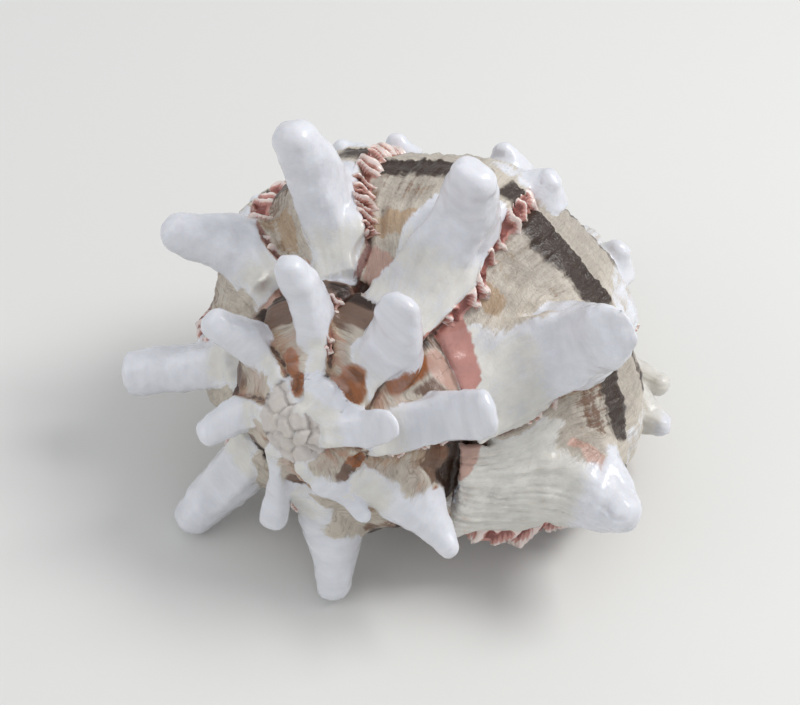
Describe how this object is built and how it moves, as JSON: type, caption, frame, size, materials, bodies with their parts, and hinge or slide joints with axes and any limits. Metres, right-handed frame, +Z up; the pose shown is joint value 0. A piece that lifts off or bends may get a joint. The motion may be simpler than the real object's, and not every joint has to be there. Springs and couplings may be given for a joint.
{
  "type": "murex shell",
  "caption": "Coiled murex shell with thick varices, blunt shoulder horns, an oval aperture and a short open canal; a display piece or a hiding place in a tank.",
  "frame": {"origin": "centre of the footprint at the height of the surface it lies on", "axes": "+Z up as it rests on two shoulder horns and the canal end with the aperture facing down; the apex points to the front left, -Y is the side it was pictured from"},
  "size_m": [0.1116, 0.1126, 0.0891],
  "materials": {
    "shell": "glazed white enamel on the varices and horns, matt cream and brown between them"
  },
  "bodies": {
    "root": {"shell": "shell"}
  },
  "joints": []
}
